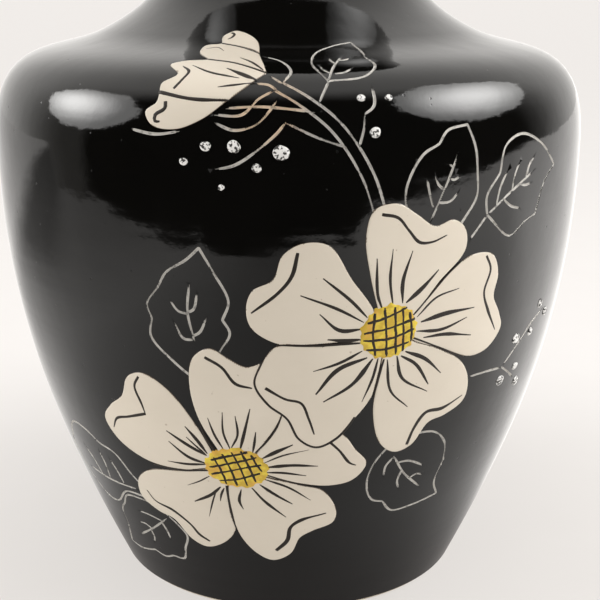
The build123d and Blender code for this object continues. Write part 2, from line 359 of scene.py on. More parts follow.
def finish_surface(name, build):
    """Material whose Principled sockets come from build(finish)."""
    material = bpy.data.materials.new(name)
    material.use_nodes = True
    finish = Finish(material.node_tree)
    shader = finish.add("ShaderNodeBsdfPrincipled", None, build(finish))
    output = finish.tree.nodes.new("ShaderNodeOutputMaterial")
    finish.tree.links.new(shader.socket, output.inputs["Surface"])
    return material


# ---- materials: colours, and sizes in metres or in lumps per metre --------------------------
def black_glaze(f):
    """Glossy black coat: nearly even, with soft ripples, orange peel and a few pinholes."""
    cloud = f.noise(28, 4)
    colour = f.mix(cloud, (0.0014, 0.0014, 0.0012), (0.0034, 0.0031, 0.0027))
    ripples = f.bump(f.noise(42, 2, 0.45), 0.00022)
    rings = f.bump(f.noise(16, 2, 0.5, stretch=(0.25, 0.25, 7)), 0.00012, after=ripples)
    peel = f.bump(f.noise(330, 4, 0.6), 0.000026, after=rings)
    holes = f.noise(520, 1, 0.3).above(0.80, 0.02)
    return {
        "Base Color": colour,
        "Roughness": 0.045 + 0.05 * f.noise(60, 5).above(0.55, 0.15) + 0.25 * holes,
        "IOR": 1.5,
        "Normal": f.bump(1 - holes, 0.00003, after=peel),
    }


def inner_glaze(f):
    """The same black inside, thinner and a little brown."""
    cloud = f.noise(35, 4)
    return {
        "Base Color": f.mix(cloud, (0.006, 0.005, 0.004), (0.016, 0.011, 0.008)),
        "Roughness": 0.12 + 0.12 * cloud,
        "Normal": f.bump(f.noise(30, 3, stretch=(0.3, 0.3, 6)), 0.0003),
    }


def bare_clay(f):
    """Pale fired clay with grog and fine pores."""
    cloud = f.noise(60, 5)
    grog = f.noise(1300, 2).above(0.66, 0.05)
    body = f.mix(cloud, (0.47, 0.40, 0.31), (0.62, 0.55, 0.44))
    return {
        "Base Color": f.mix(grog * 0.6, body, (0.30, 0.22, 0.15)),
        "Roughness": 0.75 + 0.2 * cloud,
        "Normal": f.bump(f.noise(1500, 4, 0.7), 0.00008),
    }


warm_reflection_spot = (-0.006, -0.097, 0.1725)     # just under the bud, where the scratched lines get a painted warm reflection


def scratched_line(f):
    """Clay at the bottom of a scratched line, dusty grey with specks of glaze left in it, painted warmer
    near the bud as a painted reflection.
    """
    cloud = f.noise(260, 4, 0.6)
    left = f.noise(700, 2).above(0.62, 0.06)
    pale = f.mix(cloud, (0.34, 0.325, 0.30), (0.60, 0.575, 0.535))
    place = f.add("ShaderNodeTexCoord", None, None, out=3)
    from_bud = f.add("ShaderNodeVectorMath", {"operation": "DISTANCE"}, {0: place, 1: warm_reflection_spot}, out=1)
    # painted reflection: scratched lines near the bud are tinted warm in place of a warm reflection
    painted_warm_reflection = 1 - from_bud.above(0.010, 0.004)
    pale = f.mix(painted_warm_reflection, pale, f.mix(cloud, (0.42, 0.30, 0.20), (0.72, 0.58, 0.43)))
    return {
        "Base Color": f.mix(left * 0.5, pale, (0.06, 0.055, 0.05)),
        "Roughness": 0.55 + 0.3 * cloud,
        "Normal": f.bump(f.noise(1800, 3, 0.6), 0.00006),
    }


def cream_slip(f):
    """Cream petal under clear glaze: faint mottling, brush drag and rare iron specks."""
    cloud = f.noise(45, 4)
    drag = f.noise(120, 3, 0.6, stretch=(1, 1, 4))
    speck = f.noise(700, 1, 0.3).above(0.80, 0.012)
    body = f.mix(cloud, (0.555, 0.495, 0.41), (0.64, 0.578, 0.49))
    body = f.mix(0.2 * drag, body, (0.51, 0.45, 0.36))
    even = f.bump(f.noise(90, 3), 0.00008)
    return {
        "Base Color": f.mix(0.45 * speck, body, (0.22, 0.15, 0.09)),
        "Roughness": 0.24 + 0.16 * drag,
        "Normal": f.bump(f.noise(700, 3, 0.6), 0.000025, after=even),
    }


def stained_edge(f):
    """Rolled petal edge, stained brown where the black glaze has bled into the cream."""
    bleed = f.noise(300, 4, 0.6)
    return {
        "Base Color": f.mix(bleed, (0.045, 0.030, 0.020), (0.20, 0.145, 0.095)),
        "Roughness": 0.3 + 0.2 * bleed,
        "Normal": f.bump(f.noise(900, 2), 0.00003),
    }


def dark_slip(f):
    """Brush strokes: dark brown-black slip that thins to brown at the edges of the brush."""
    drag = f.noise(520, 4, 0.65)
    return {
        "Base Color": f.mix(drag, (0.008, 0.006, 0.005), (0.034, 0.026, 0.020)),
        "Roughness": 0.28 + 0.25 * drag,
        "Specular IOR Level": 0.3,
        "Normal": f.bump(f.noise(1500, 3, 0.6), 0.00003),
    }


def yellow_slip(f):
    """Yellow flower middle: thick dabs, ochre in the hollows."""
    dabs = f.noise(340, 3, 0.6)
    body = f.mix(dabs.above(0.5, 0.12), (0.50, 0.33, 0.022), (0.66, 0.50, 0.04))
    return {
        "Base Color": f.mix(0.7 * f.noise(260, 2).above(0.58, 0.06), body, (0.58, 0.31, 0.045)),
        "Roughness": 0.35 + 0.2 * dabs,
        "Normal": f.bump(dabs, 0.0002),
    }


def white_slip(f):
    """White berry dots, speckled where the black shows through."""
    gap = f.noise(1150, 2, 0.5).above(0.535, 0.035)
    cloud = f.noise(400, 3)
    white = f.mix(cloud, (0.58, 0.57, 0.55), (0.80, 0.79, 0.77))
    return {
        "Base Color": f.mix(gap, white, (0.03, 0.028, 0.026)),
        "Roughness": 0.35 + 0.3 * cloud,
        "Normal": f.bump(f.noise(1100, 3, 0.6), 0.00015),
    }


glaze_finish = finish_surface("black_glaze", black_glaze)
inner_finish = finish_surface("inner_black_glaze", inner_glaze)
clay_finish = finish_surface("bare_clay", bare_clay)
scratch_finish = finish_surface("scratched_line", scratched_line)
cream_finish = finish_surface("cream_slip", cream_slip)
edge_finish = finish_surface("stained_edge", stained_edge)
stroke_finish = finish_surface("dark_slip", dark_slip)
yellow_finish = finish_surface("yellow_slip", yellow_slip)
white_finish = finish_surface("white_slip", white_slip)

# ---- the drawing, in mm across and up -----------------------------------------------------
upper_middle, upper_size = (30.3, 113.8), (8.9, 8.7)
lower_middle, lower_size = (-18.5, 66.6), (10.3, 7.9)

upper_petals = [
    [(28.5, 105), (27.8, 98), (26.5, 92), (20, 83), (16, 78.3), (9.5, 75.3), (3.5, 78.5), (-0.5, 86),
     (-6.5, 91), (-10.5, 98), (-7.5, 106), (-3.5, 110.5), (10, 110.4), (21.5, 110.8)],
    [(21.5, 111.2), (8, 111), (-3, 111.1), (-11, 116), (-12.4, 122), (-10.5, 127.5), (-4.5, 131),
     (-1.8, 138), (4, 141.6), (11.5, 140.8), (18, 131), (24, 121)],
    [(25.5, 121), (23.5, 131), (21.7, 143), (24, 150.5), (31, 152), (37, 148.5), (43, 144.7),
     (49, 146), (53.5, 143), (54.2, 136.5), (46, 128), (38, 118.7)],
    [(38.6, 118.2), (48, 129.5), (57, 134.6), (65.5, 133.5), (68.8, 127), (68.2, 120), (72, 114),
     (74.3, 108.5), (69.5, 102.4), (61.5, 101.1), (50, 105.6), (38.9, 111)],
    [(38.8, 110.6), (50, 105.2), (58.5, 100), (63.4, 92.5), (63.4, 85.5), (56, 81.3), (49.5, 79.7),
     (44.5, 72.3), (38, 70.4), (31.5, 75), (27.6, 87), (28.3, 99), (29.5, 105)],
]
lower_petals = [
    [(-25.5, 73), (-30, 84), (-31.8, 96), (-29.8, 105.3), (-24, 109), (-18.5, 106.2), (-13, 103.6),
     (-6, 105), (-1, 98), (-2, 87.8), (-8, 77), (-12, 72.5)],
    [(-11.7, 72.3), (-4.3, 82.5), (-1.6, 89.5), (4, 90), (12, 84), (19.5, 78.5), (23, 73.8),
     (28, 67.5), (24, 61.5), (16, 59.6), (4, 61), (-8.5, 65)],
    [(-8.5, 64.7), (4, 60.6), (12.5, 58), (18.7, 49), (18.2, 43.7), (10, 40), (5, 37), (1, 29.3),
     (-7, 26), (-14.5, 29.5), (-20.3, 37), (-22.4, 47), (-22.5, 59)],
    [(-23, 59), (-22.9, 47), (-21.8, 40), (-27, 33.3), (-37, 29.3), (-44, 32), (-50, 39.6), (-57, 41.5),
     (-64.3, 46.5), (-63, 54), (-55, 60), (-40, 62.8), (-28.8, 64.5)],
    [(-28.5, 71.5), (-31, 81.5), (-39, 92.8), (-48, 97.8), (-54.8, 95.5), (-59, 88), (-66, 82.8),
     (-70.7, 77), (-67, 69.8), (-55, 64), (-40, 63.2), (-28.8, 65)],
]
bud_petals = [
    [[(-30, 213.8), (-31.7, 218), (-27, 221.4), (-18, 219), (-13.5, 215), (-11, 205.5)],
     [(-11, 205.5), (-14.5, 209), (-22, 212), (-30, 213.8)]],
    [[(-30, 213.6), (-36.7, 211.8), (-35.7, 206), (-29, 199.8)],
     [(-29, 199.8), (-19, 197.5), (-6.8, 191.4)],
     [(-6.8, 191.4), (-8.5, 197.5), (-11, 205.2)],
     [(-11, 205.2), (-14.5, 208.7), (-22, 211.7), (-30, 213.6)]],
    [[(-29, 199.5), (-37, 198), (-40.8, 195), (-35.6, 189.7), (-39.2, 186), (-39, 183)],
     [(-39, 183), (-28, 181.2), (-17, 181)],
     [(-17, 181), (-12, 185.6), (-6.8, 191)],
     [(-6.8, 191), (-19, 197.2), (-29, 199.5)]],
    [[(-38.8, 182.6), (-39, 179.8), (-42, 177), (-39.5, 173.2), (-32, 172.3), (-24, 175.5), (-17.5, 180.7)],
     [(-17.5, 180.7), (-28, 180.9), (-38.8, 182.6)]],
]

# Leaves: the outline in runs that meet at corners, then the veins.
leaves = {
    "leaf_by_neck": (
        [[(12, 187.6), (8, 196.5), (11, 207), (19, 212.3), (28.2, 214.8)],
         [(28.2, 214.8), (29.6, 208), (28.6, 201.5)],
         [(28.6, 201.5), (29.4, 195.5), (24, 189.5), (12, 187.6)]],
        [[(12, 187.6), (15, 195), (19.8, 203)],
         [(13.2, 191), (11.2, 193), (10.3, 195.2)],
         [(14.5, 190.8), (17.8, 191.5), (20.5, 193.4)],
         [(16, 197), (15, 199), (14.5, 201.5)],
         [(17.6, 199.6), (20, 200), (22.3, 201.2)]],
    ),
    "leaf_over_flower": (
        [[(45, 136), (36, 144), (33.2, 155), (38, 164.8), (43.5, 167.8)],
         [(43.5, 167.8), (46.5, 171.3), (53.5, 172.6)],
         [(53.5, 172.6), (56, 166), (56.8, 159.5)],
         [(56.8, 159.5), (57, 152), (52.8, 145.7), (45, 136)]],
        [[(41.3, 146), (45.5, 155), (50, 165.5)],
         [(42, 149.8), (40.8, 153.5), (39.7, 158)],
         [(43.7, 151.2), (47.5, 151.3), (50.2, 153.7)],
         [(45, 155), (43.3, 156.5), (42.3, 159)],
         [(47.3, 157.7), (48.8, 157.4), (50.3, 158.2)],
         [(48.6, 160.4), (47.8, 161.2), (46.9, 161.8)]],
    ),
    "leaf_right": (
        [[(61.5, 145.8), (61, 151.5), (65.8, 157.7)],
         [(65.8, 157.7), (68, 165.3), (75.5, 168.2), (86, 164.3), (94.5, 157)],
         [(94.5, 157), (88.5, 152.3), (84.5, 143)],
         [(84.5, 143), (79, 141.5)],
         [(79, 141.5), (72, 138.2), (61.5, 145.8)]],
        [[(61.5, 145.8), (70, 151), (82.5, 157)],
         [(65, 148.2), (66.3, 153.5), (69, 158)],
         [(71.5, 151.7), (72.5, 156.5), (74.5, 160)],
         [(78, 155), (79.3, 158.5), (81.5, 160.7)],
         [(68, 149.7), (71.5, 147.3), (76, 146)],
         [(75, 153.5), (77.5, 152.8), (80.5, 153)]],
    ),
    "leaf_left": (
        [[(-25.5, 139.5), (-29.5, 135.8), (-36, 131.5), (-39, 126.8)],
         [(-39, 126.8), (-43.2, 121), (-42, 116.8)],
         [(-42, 116.8), (-43, 111), (-38, 105), (-27, 98), (-20.5, 108.5)],
         [(-20.5, 108.5), (-17.4, 114), (-19.4, 118.2)],
         [(-19.4, 118.2), (-17.4, 124), (-21.5, 132.5), (-25.5, 139.5)]],
        [[(-28.5, 110.5), (-30, 120), (-29, 128.3)],
         [(-28.9, 111.2), (-32, 111.4), (-34.8, 116.5)],
         [(-28.8, 112.4), (-26.5, 114), (-24.3, 118.5)],
         [(-29.9, 119.3), (-33, 120), (-35.2, 122.8)],
         [(-29.9, 119.8), (-28, 121), (-26.8, 125.5)]],
    ),
    "leaf_under_flower": (
        [[(38, 76), (31, 67), (29.4, 58.5), (32.5, 51.8), (37.5, 50)],
         [(37.5, 50), (42.5, 45.3), (52, 45.5), (64.5, 47.5)],
         [(64.5, 47.5), (60.7, 53.5), (61.9, 62.5)],
         [(61.9, 62.5), (60, 69.5), (53, 75.5), (38, 76)]],
        [[(38.4, 68.5), (44, 61), (53.7, 53)],
         [(38.2, 68.3), (35.7, 65), (35.7, 60.8)],
         [(40, 65.8), (45, 65.7), (52, 62.5)],
         [(42.8, 62), (42, 58), (43.5, 54.5)],
         [(47.3, 58.2), (50, 59.3), (53, 58.5)]],
    ),
    "leaf_far_left": (
        [[(-60, 50), (-65.5, 54.5), (-72, 62), (-80.5, 64)],
         [(-80.5, 64), (-89, 67.5), (-99, 67), (-112, 54)],
         [(-112, 54), (-103, 43), (-92, 37.5), (-84, 38.5), (-74, 45.5), (-60, 46.2)]],
        [[(-66.5, 48.7), (-84, 48), (-100, 48.5)],
         [(-73.5, 49), (-75, 54), (-77.5, 58.5)],
         [(-83, 48.6), (-82.4, 55), (-83.5, 60)],
         [(-89, 48.4), (-91.5, 54), (-96, 59)]],
    ),
    "leaf_low_left": (
        [[(-50, 38), (-58, 43.5), (-66, 44.5), (-75, 43.5), (-79.8, 38.6)],
         [(-79.8, 38.6), (-84.5, 34.5), (-87, 26), (-93, 16.5)],
         [(-93, 16.5), (-85, 16), (-76, 17.8), (-71.5, 19.1)],
         [(-71.5, 19.1), (-65, 17.8), (-59, 19.7)],
         [(-59, 19.7), (-52, 20.3), (-49.2, 26), (-46, 32.5), (-50, 38)]],
        [[(-54.5, 38.5), (-65, 31.5), (-78, 24.5)],
         [(-58, 36.7), (-65, 37.8), (-70.5, 37.8)],
         [(-58, 35.8), (-56.7, 32), (-56.3, 28.7)],
         [(-66.5, 30.7), (-70, 32), (-74, 31.7)],
         [(-67.5, 29.6), (-67.4, 26.5), (-69, 23.5)]],
    ),
}

stem_width = 2.7
stem_path = [(26.8, 146), (22, 160), (13.5, 173.2), (4.3, 181), (-2.8, 185.6)]

twigs = [
    [(15.8, 168), (8, 170.7), (-0.8, 174.8)],
    [(-0.8, 174.8), (-3.8, 171.3), (-14.5, 163.3), (-20.8, 161.8)],
    [(19.6, 168.4), (21, 173), (21.5, 176.8)],
    [(21.5, 176.8), (24.5, 179.3), (25, 185)],
    [(-1.6, 187), (0.8, 192), (-3, 199.5), (-9.3, 203.3)],
    [(-2, 186.8), (-5.5, 189.6)],
    [(-3.5, 184.4), (-6, 186.2), (-9.5, 186.6)],
    [(-4.2, 184.2), (-8.5, 181.5), (-13, 176.9), (-21, 176.7)],
    [(-46, 171.8), (-38, 170.8), (-30, 172)],
    [(-18, 178.6), (-8, 179.2), (2, 178.4), (8, 177.6)],
    [(-20.8, 174.6), (-15, 172.6), (-9, 174.2), (-5, 178.4), (-3.2, 181.4)],
    [(8.8, 180.6), (12, 187.2)],
    [(55.8, 139.6), (61.2, 145.5)],
    [(63.8, 93.5), (72, 93.5), (80.5, 93)],
    [(80.5, 93), (86, 89.8), (90.5, 87)],
    [(80.9, 93.4), (88.5, 100.3), (95, 105.5), (103, 108.5)],
]

berries = {
    "berries_left": [(-2, 166.7, 2.4), (-15, 168.2, 2.0), (-23, 168.1, 1.6), (-29.3, 163.7, 1.3),
                     (-8.7, 162.5, 1.4), (-18.5, 157, 1.0)],
    "berries_right": [(21, 181.6, 1.3), (29.3, 181.5, 1.2), (24.2, 171.8, 1.7)],
    "berries_side": [(85.5, 101.8, 2.2), (81.8, 87.8, 2.1), (90, 91, 1.6), (94.5, 84.2, 1.9),
                     (95.2, 102, 1.6), (98.8, 111, 1.6), (106, 106.5, 1.8)],
}

# Brush strokes: the widest width in mm, then the points of the line. Rays thin out at both ends;
# folds start blunt and thin towards their end; seams run between two petals.
upper_strokes = {
    "ray": [
        (0.9, [(27.7, 120.8), (25.9, 126), (25.2, 136.5)]),
        (0.8, [(30.8, 122.3), (29.5, 130), (29.9, 139)]),
        (1.0, [(33.9, 122.4), (33.5, 129), (36, 138)]),
        (1.2, [(35, 122.4), (40, 126.5), (45, 131.5)]),
        (0.8, [(39, 117.5), (45, 122.9), (53, 124.8)]),
        (1.2, [(40.5, 115.8), (49, 117.4), (60, 117.7)]),
        (1.0, [(39.3, 113), (48, 112.4), (57.5, 114.9)]),
        (1.0, [(42, 110.6), (50, 110.6), (60.3, 108.6)]),
        (1.1, [(36.3, 106.8), (43.5, 103.5), (50.5, 97.5)]),
        (1.1, [(35, 105.5), (40.5, 102), (46.3, 94.3)]),
        (1.0, [(33.6, 105.6), (36.2, 98), (46.3, 91.8)]),
        (0.8, [(30.5, 104.8), (32.8, 94), (39.8, 87.3)]),
        (0.9, [(27.5, 105.5), (26.3, 99), (23.5, 91)]),
        (1.3, [(25.8, 105.5), (20, 97.5), (11, 91.8)]),
        (1.4, [(24, 106), (15, 102.5), (8.5, 94.5)]),
        (0.8, [(22.3, 108.3), (15.5, 104.8), (7.5, 102.3)]),
        (1.1, [(21.8, 115.3), (15, 115.3), (9, 120.5)]),
        (0.9, [(22.2, 117.4), (14, 122), (3.4, 126.3)]),
        (1.1, [(23.2, 118.8), (18, 124.3), (9.8, 131.3)]),
        (1.1, [(21.5, 112), (16.5, 112), (11.5, 112.5)]),
    ],
    "fold": [
        (0.9, [(26.2, 149.1), (31, 147.9), (34.5, 144), (38, 140.3), (42, 140), (47, 141.6)]),
        (1.0, [(62.5, 133.5), (64.9, 129), (63.3, 122), (66, 116), (71.2, 108.3)]),
        (1.2, [(42.3, 72.8), (44, 79), (47.5, 84), (54, 84.3), (62, 87.4)]),
        (1.0, [(-7.2, 96.7), (-1, 93), (4, 91.5), (6.5, 86), (8.5, 80.2)]),
        (1.1, [(2.6, 138.9), (0.9, 132), (-3, 127), (-10.8, 120.8)]),
    ],
    "seam": [
        (0.7, [(37.8, 118.3), (43, 124), (48.5, 129.7), (53, 133.1)]),
        (0.9, [(38.5, 111), (47, 107.1), (53, 104.1), (59, 101.6)]),
        (0.9, [(29.5, 105), (28.1, 98), (27.2, 92)]),
        (1.0, [(21.5, 110.9), (8, 110.7), (-3.5, 110.9)]),
    ],
}
lower_strokes = {
    "ray": [
        (1.3, [(-28.8, 70.5), (-35, 73.5), (-42.8, 78)]),
        (1.1, [(-28.5, 71.3), (-31.5, 76), (-35.3, 80.8)]),
        (0.8, [(-29, 70.8), (-32, 73.5), (-35.5, 76.8)]),
        (1.1, [(-29.5, 67.3), (-36, 69), (-42.8, 74)]),
        (0.9, [(-29.5, 67), (-37, 66), (-45, 65.8)]),
        (0.7, [(-22.3, 73.5), (-25, 79), (-26.7, 85)]),
        (0.8, [(-20, 74), (-21.8, 80), (-21.5, 87.5)]),
        (0.8, [(-19.5, 74.5), (-17, 79.5), (-17.3, 86.5)]),
        (1.0, [(-16.5, 74), (-14.5, 81), (-12.3, 89.3)]),
        (0.7, [(-12.3, 72.8), (-11.5, 76.5), (-10.8, 81)]),
        (1.1, [(-9, 71), (-4, 73.8), (1.5, 76.5)]),
        (0.5, [(-9, 69), (-2, 72.3), (7, 74.5)]),
        (1.1, [(-8.2, 67.5), (1, 68.5), (10.3, 68)]),
        (0.9, [(-8, 65.5), (-2, 65.5), (6.3, 64.3)]),
        (0.7, [(-9.3, 63), (0, 59.5), (8.3, 54)]),
        (1.0, [(-10.5, 60.5), (-5, 56.5), (1.5, 52.5)]),
        (0.9, [(-13.5, 59), (-9, 53.5), (-1, 46.7)]),
        (0.8, [(-17.5, 58), (-18.7, 53), (-17.5, 49.5)]),
        (0.8, [(-24, 58), (-25.5, 55), (-26.3, 52.2)]),
        (1.1, [(-25.3, 58.3), (-29.5, 54.5), (-37.3, 50.3)]),
        (0.6, [(-29, 62.3), (-33.5, 59.5), (-38.8, 57)]),
        (0.5, [(-27, 57), (-29.3, 52), (-32.3, 44.5)]),
    ],
    "fold": [
        (1.1, [(-50, 96.3), (-52.3, 92.5), (-50.8, 86.5), (-50, 82.5)]),
        (1.0, [(-50, 83), (-58, 80.3), (-64, 78.3), (-67, 74.2)]),
        (1.2, [(-25.7, 106), (-20.5, 103), (-16.5, 97.8), (-11.3, 96.5)]),
        (1.0, [(14, 77), (17.5, 73.5), (21.5, 68.5), (24, 67.3)]),
        (1.3, [(-5.3, 31), (-0.5, 36), (0.8, 42), (5, 45.3), (14.7, 48)]),
        (1.1, [(-34.7, 32.5), (-39, 35), (-42, 39), (-49, 44), (-57, 46.5), (-59.7, 50.3)]),
    ],
    "seam": [
        (0.8, [(-25.5, 72.3), (-28.5, 78), (-29.7, 83)]),
        (0.7, [(-11.5, 73), (-7.2, 77.6), (-3.9, 82.6), (-2, 87.5)]),
        (1.0, [(21.5, 85.8), (20, 83), (16, 78.3), (9.5, 75.3), (3.5, 78.5), (-0.5, 86), (-6.5, 91),
               (-10.5, 98), (-7.8, 105.5)]),
        (0.8, [(-8.8, 64.8), (4, 60.8), (11, 59)]),
        (1.1, [(-23, 59), (-22.8, 50), (-21.8, 41)]),
        (0.9, [(-28.8, 64.6), (-40, 63), (-52, 62.9)]),
    ],
}
bud_strokes = {
    "ray": [
        (0.9, [(-8, 192.5), (-13, 198), (-17.5, 201.3)]),
        (1.2, [(-9.5, 187.8), (-14, 190), (-20, 193.3)]),
        (0.8, [(-15, 188.5), (-25, 191), (-32.3, 194.6)]),
        (0.6, [(-21, 185), (-15, 186), (-10, 186.8)]),
        (0.5, [(-34.5, 209), (-30, 210.3), (-26, 207.5)]),
    ],
    "fold": [
        (0.9, [(-28, 220), (-26.2, 219), (-26.8, 217.3), (-28.3, 216.2)]),
        (0.9, [(-34.5, 184), (-33, 187), (-32, 191), (-35.5, 194)]),
        (1.3, [(-36, 180), (-35.8, 178), (-38.5, 176), (-38.3, 174.3), (-36.8, 174.3)]),
    ],
    "seam": [
        (0.9, [(-30, 213.7), (-20, 211), (-11, 205.3)]),
        (0.9, [(-29, 199.7), (-19, 197.3), (-6.8, 191.2)]),
        (1.3, [(-39, 182.8), (-28, 181), (-17, 180.9)]),
    ],
}
upper_hatch = [
    [(25.5, 120), (25.2, 113), (26.5, 106.5)], [(28.3, 121.5), (29.3, 114), (30, 106)],
    [(31.5, 121.5), (32.3, 114), (33, 106.3)], [(34, 121.3), (34.8, 114), (35.3, 107)],
    [(36.3, 119.5), (37.5, 114), (37.6, 110)], [(23.3, 117), (30, 118.8), (35.5, 121)],
    [(22.4, 113.8), (30, 115), (38.4, 117.2)], [(22.3, 111.6), (30, 111.6), (38.4, 114)],
    [(23.4, 108.6), (30, 108.4), (37, 110)],
]
lower_hatch = [
    [(-27.5, 69), (-21, 71.3), (-14, 73.2)], [(-28.3, 66.3), (-20, 68.6), (-11, 71.5)],
    [(-28, 63.4), (-20, 65.8), (-9.5, 68.7)], [(-25.5, 61), (-18, 62.5), (-10, 65.2)],
    [(-26.3, 70.3), (-24, 65), (-22.7, 60)], [(-23, 72), (-20.5, 66), (-18.8, 59.7)],
    [(-19.6, 73), (-17, 67), (-15, 60)], [(-16.4, 73.6), (-14, 68), (-11.7, 61.6)],
    [(-12.8, 72.4), (-11.3, 69), (-9.3, 66)],
]

# ---- the wall beyond the outer profile: over the lip, down inside, across the floor -----------
full_depth = 2 * coat + clay_wall
lip_round = full_depth / 2
floor_height, floor_flat, corner_start = 8.8, 38.0, 0.13


def bezier(points, t):
    """Point and direction on a quadratic curve."""
    a, b, c = (np.array(p, float) for p in points)
    place = (1 - t) ** 2 * a + 2 * t * (1 - t) * b + t * t * c
    slope = (1 - t) * (b - a) + t * (c - b)
    return place, slope / np.hypot(*slope)


def lip_and_inside(rows):
    """Rows that carry on from the top of the outer profile to the axis inside."""
    r, z, dr, dz = rows[-1]
    out, along = np.array([dz, -dr]), np.array([dr, dz])
    middle = np.array([r, z]) - lip_round * out
    over = []
    for turn in np.linspace(0, math.pi, 61)[1:]:
        place = middle + lip_round * (math.cos(turn) * out + math.sin(turn) * along)
        over.append((*place, *(math.cos(turn) * along - math.sin(turn) * out)))
    first = int(corner_start * len(rows) / 3)
    down = []
    for r, z, dr, dz in rows[-2:first:-1]:
        down.append((r - full_depth * dz, z + full_depth * dr, -dr, -dz))
    corner = []
    end = np.array(down[-1][:2])
    reach = (floor_height - end[1]) / down[-1][3]
    knee = (end[0] + reach * down[-1][2], floor_height)
    for t in np.linspace(0, 1, 41)[1:]:
        place, slope = bezier((end, knee, (floor_flat, floor_height)), t)
        corner.append((*place, *slope))
    flat = [(r, floor_height, -1.0, 0.0) for r in np.linspace(floor_flat, 0, 20)[1:]]
    return np.array(over), np.array(down + corner + flat)


over_rows, inside_rows = lip_and_inside(wall_rows)
crest = int(np.argmax(over_rows[:, 1]))
outer_rows = np.vstack([wall_rows, over_rows[:crest + 1]])
outer_up = foot_lift + np.concatenate([[0], np.cumsum(np.hypot(*np.diff(outer_rows[:, :2], axis=0).T))])
wall_up, wall_rows = outer_up, outer_rows
crest_up = outer_up[-1]
half_way = math.pi * belly_radius


def out_from_wall(points):
    """Unit direction straight out of the wall at drawing points."""
    _, _, dr, dz = wall_at(points[:, 1])
    turn = points[:, 0] / belly_radius
    size = np.hypot(dr, dz)
    return np.stack([dz * np.sin(turn), -dz * np.cos(turn), -dr], 1) / size[:, None]


# ---- scratched lines ----------------------------------------------------------------------
outline_width, vein_width, twig_width = 0.72, 0.74, 0.76
scratch_step = 0.6          # distance between the points of a scratched line


def unsteady(count, amount):
    """Slow wander about 1 for the width of a hand-drawn line."""
    knots = [chance.uniform(-amount, amount) for _ in range(count // 6 + 3)]
    return 1 + np.interp(np.arange(count) / 6, np.arange(len(knots)), knots)


def scratch(points, width, owner, tapered=True):
    """One scratched line: its middle, half widths and the piece whose surface it marks."""
    line = points if isinstance(points, np.ndarray) else smooth(points, scratch_step)
    half = 0.5 * width * unsteady(len(line), 0.2)
    if tapered:
        run = np.linspace(0, 1, len(line))
        half *= np.clip(np.minimum((run + 0.03) / 0.12, (1.04 - run) / 0.2), 0.3, 1) ** 0.6
    return line, half, owner


leaf_outlines = {name: closed(outline, scratch_step) for name, (outline, _) in leaves.items()}
stem_line = smooth(stem_path, scratch_step)
stem_sides = [side_step(stem_line, side * (stem_width + outline_width) / 2) for side in (1, -1)]
stem_outline = np.vstack([stem_sides[0], stem_sides[1][::-1]])

scratches = []
for name, (_, veins) in leaves.items():
    ring = leaf_outlines[name]
    scratches.append(scratch(np.vstack([ring, ring[:1]]), outline_width, "coat", tapered=False))
    scratches += [scratch(vein, vein_width, name) for vein in veins]
scratches += [scratch(side, outline_width, "coat", tapered=False) for side in stem_sides]
scratches += [scratch(twig, twig_width, "coat") for twig in twigs]

scratch_points = np.vstack([line for line, _, _ in scratches])
scratch_halves = np.concatenate([half for _, half, _ in scratches])
scratch_owners = [owner for line, _, owner in scratches for _ in line]
scratch_tree = finder(scratch_points)


def scratch_dip(points):
    """Depth of the scratched lines at drawing points, how far in they lie, and whose line it is."""
    away, which = distance(points, scratch_tree)
    half = scratch_halves[which]
    share = np.clip((half - away) / (0.6 * half), 0, 1)
    return scratch_depth * share, away / half, which


# ---- one net over the whole wall ----------------------------------------------------------
front_low, front_high = (-126.0, 8.0), (126.0, 234.0)
fine, coarse = 2.0, 4.0
line_gap = 0.55             # no point of the even net is nearer to a scratched line than this


def wall_net():
    """Points over the wall with edges along the scratched lines, as triangles."""
    points, edges = [], []

    def add_run(run, joined=True):
        first = sum(len(p) for p in points)
        points.append(run)
        if joined:
            edges.extend((first + i, first + i + 1) for i in range(len(run) - 1))

    for line, half, _ in scratches:
        for share in (-1, -0.4, 0.4, 1):
            add_run(side_step(line, share * half))
    across = np.concatenate([np.arange(-half_way, front_low[0], coarse),
                             np.arange(front_low[0], front_high[0], fine),
                             np.linspace(front_high[0], half_way, 48)])
    lip_rows = np.linspace(wall_top, crest_up, 12)
    foot_rows = foot_lift + np.array([0, 0.12, 0.3, 0.55, 0.9])
    for up in np.concatenate([foot_rows, lip_rows]):
        add_run(np.stack([across, np.full(len(across), up)], 1), joined=up in (foot_lift, crest_up))
    seam_up = np.arange(3, wall_top - 1, coarse)
    for side in (-1, 1):
        add_run(np.stack([np.full(len(seam_up), side * half_way), seam_up], 1), joined=False)
    rest = lattice((-half_way + 2, 3), (half_way - 2, wall_top - 2), coarse)
    in_front = ((rest > front_low) & (rest < front_high)).all(1)
    near = lattice(front_low, front_high, fine)
    field = np.vstack([rest[~in_front], near])
    away, which = distance(field, scratch_tree)
    points.append(field[away > scratch_halves[which] + line_gap])
    return triangles(np.vstack(points), edges)


net_points, net_faces = wall_net()
net_faces = facing_out(net_points, net_faces)
face_middles = net_points[net_faces].mean(1)
dip = scratch_dip(net_points)[0]
_, face_in_line, face_line = scratch_dip(face_middles)
face_scratched = face_in_line < 1
face_owner = np.array(["coat"] * len(net_faces), dtype=object)
coat_line = np.array([owner == "coat" for owner in scratch_owners])[face_line] & face_scratched
for name, outline in {**leaf_outlines, "stem": stem_outline}.items():
    face_owner[inside(face_middles, outline) & ~coat_line] = name

foot_roll = 0.9
net_lift = -dip
low = net_points[:, 1] < foot_lift + foot_roll
short = 1 - (net_points[low, 1] - foot_lift) / foot_roll
net_lift[low] -= coat * 0.9 * (1 - np.sqrt(1 - np.clip(short, 0, 1) ** 2))


